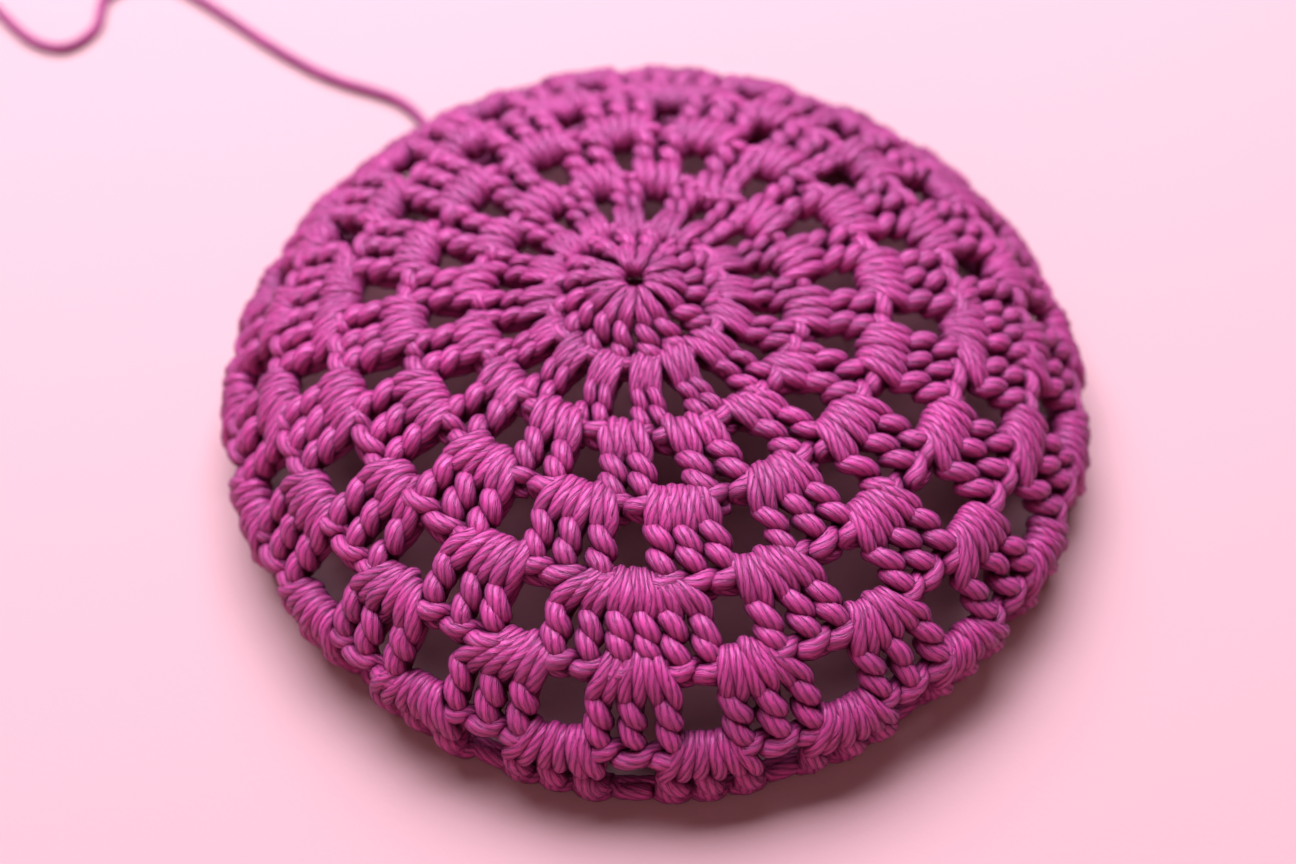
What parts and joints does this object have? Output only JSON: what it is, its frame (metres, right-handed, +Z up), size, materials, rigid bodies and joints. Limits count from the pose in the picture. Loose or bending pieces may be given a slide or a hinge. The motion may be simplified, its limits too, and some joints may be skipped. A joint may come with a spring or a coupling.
{
  "type": "crocheted openwork cap",
  "caption": "Shallow crocheted openwork cap for the hair, built in rounds of fanned post stitches from a centre ring to a chained rim, with its working yarn attached.",
  "frame": {"origin": "centre of the rim's resting face, on the table plane", "axes": "+Z up through the crown; -Y towards the front of the cap; the working yarn leaves the rim at the back left, towards -X and +Y"},
  "size_m": [0.2364, 0.2067, 0.0366],
  "materials": {
    "yarn": "plied cotton yarn, soft sheen"
  },
  "bodies": {
    "rim": {"round_7_clusters": "yarn", "round_7_start_chain": "yarn", "round_7_edge_chain": "yarn", "working_loop": "yarn"},
    "crown": {"centre_ring": "yarn", "start_tail": "yarn", "round_1_stitches": "yarn", "round_1_start_chain": "yarn", "round_1_top_chain": "yarn"},
    "round_2": {"round_2_clusters": "yarn", "round_2_start_chain": "yarn", "round_2_top_chain": "yarn"},
    "round_3": {"round_3_clusters": "yarn", "round_3_start_chain": "yarn", "round_3_top_chain": "yarn"},
    "round_4": {"round_4_clusters": "yarn", "round_4_start_chain": "yarn", "round_4_top_chain": "yarn"},
    "round_5": {"round_5_clusters": "yarn", "round_5_corner_clusters": "yarn", "round_5_start_chain": "yarn", "round_5_top_chain": "yarn"},
    "round_6": {"round_6_clusters": "yarn", "round_6_start_chain": "yarn", "round_6_top_chain": "yarn"},
    "yarn_near": {"working_yarn_near": "yarn"},
    "yarn_far": {"working_yarn_far": "yarn"}
  },
  "joints": [
    {"name": "crown_press", "type": "slide", "parent": "rim", "child": "crown", "axis": [0, 0, -1], "range_m": [0, 0.017], "stiffness_N_per_m": 80},
    {"name": "round_2_press", "type": "slide", "parent": "rim", "child": "round_2", "axis": [0, 0, -1], "range_m": [0, 0.01551]},
    {"name": "round_3_press", "type": "slide", "parent": "rim", "child": "round_3", "axis": [0, 0, -1], "range_m": [0, 0.01511]},
    {"name": "round_4_press", "type": "slide", "parent": "rim", "child": "round_4", "axis": [0, 0, -1], "range_m": [0, 0.01451]},
    {"name": "round_5_press", "type": "slide", "parent": "rim", "child": "round_5", "axis": [0, 0, -1], "range_m": [0, 0.01251]},
    {"name": "round_6_press", "type": "slide", "parent": "rim", "child": "round_6", "axis": [0, 0, -1], "range_m": [0, 0.00656]},
    {"name": "yarn_swing", "type": "hinge", "parent": "rim", "child": "yarn_near", "pos_m": [-0.04837, 0.07171, 0.00105], "axis": [0, 0, 1], "range_deg": [-35, 35]},
    {"name": "yarn_bend", "type": "hinge", "parent": "yarn_near", "child": "yarn_far", "pos_m": [-0.0855, 0.0988, 0.00105], "axis": [0, 0, 1], "range_deg": [-40, 40]}
  ],
  "couplings": [
    {"joint": "round_2_press", "follows": "crown_press", "ratio": 0.91177},
    {"joint": "round_3_press", "follows": "crown_press", "ratio": 0.88823},
    {"joint": "round_4_press", "follows": "crown_press", "ratio": 0.85294},
    {"joint": "round_5_press", "follows": "crown_press", "ratio": 0.73529},
    {"joint": "round_6_press", "follows": "crown_press", "ratio": 0.38529}
  ]
}
